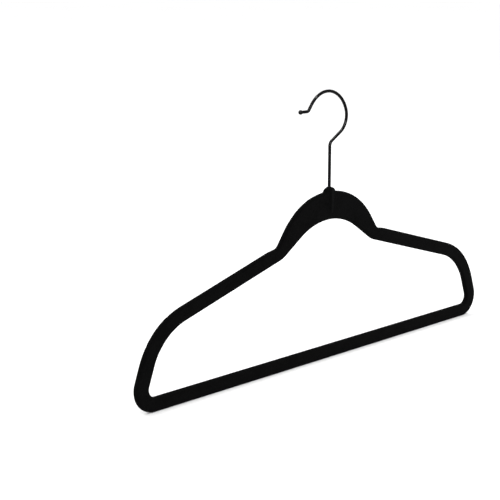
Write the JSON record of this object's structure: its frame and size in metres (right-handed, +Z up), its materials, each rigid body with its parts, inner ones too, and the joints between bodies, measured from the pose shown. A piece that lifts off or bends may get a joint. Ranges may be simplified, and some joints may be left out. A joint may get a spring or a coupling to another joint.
{
  "type": "clothes hanger",
  "caption": "Slim one-piece moulded clothes hanger flocked in black, with a humped neck, rounded shoulders, a trouser bar and a bent wire hook that swivels.",
  "frame": {"origin": "where the swivel axis meets the inside of the hook's bow, the point a rail carries", "axes": "+X along the hanger with the hook opening towards -X, +Y from the front to the back, +Z up along the swivel axis"},
  "size_m": [0.445, 0.0068, 0.2367],
  "materials": {
    "flock": "short black nylon nap, matt with a faint sheen at grazing angles",
    "moulding": "black ABS, as moulded",
    "hook_steel": "glossy black plated steel wire",
    "sleeve_steel": "drawn steel tube, plain",
    "spring_steel": "oiled spring steel",
    "bead": "glossy black plastic bead"
  },
  "bodies": {
    "hook": {"hook_wire": "hook_steel", "snap_ring": "spring_steel", "hook_tip": "bead"},
    "frame": {"frame_core": "moulding", "flock_coat": "flock", "neck_sleeve": "sleeve_steel"}
  },
  "joints": [
    {"name": "hook_swivel", "type": "hinge", "parent": "hook", "child": "frame", "pos_m": [0, 0, -0.0898], "axis": [0, 0, 1], "continuous": true}
  ]
}
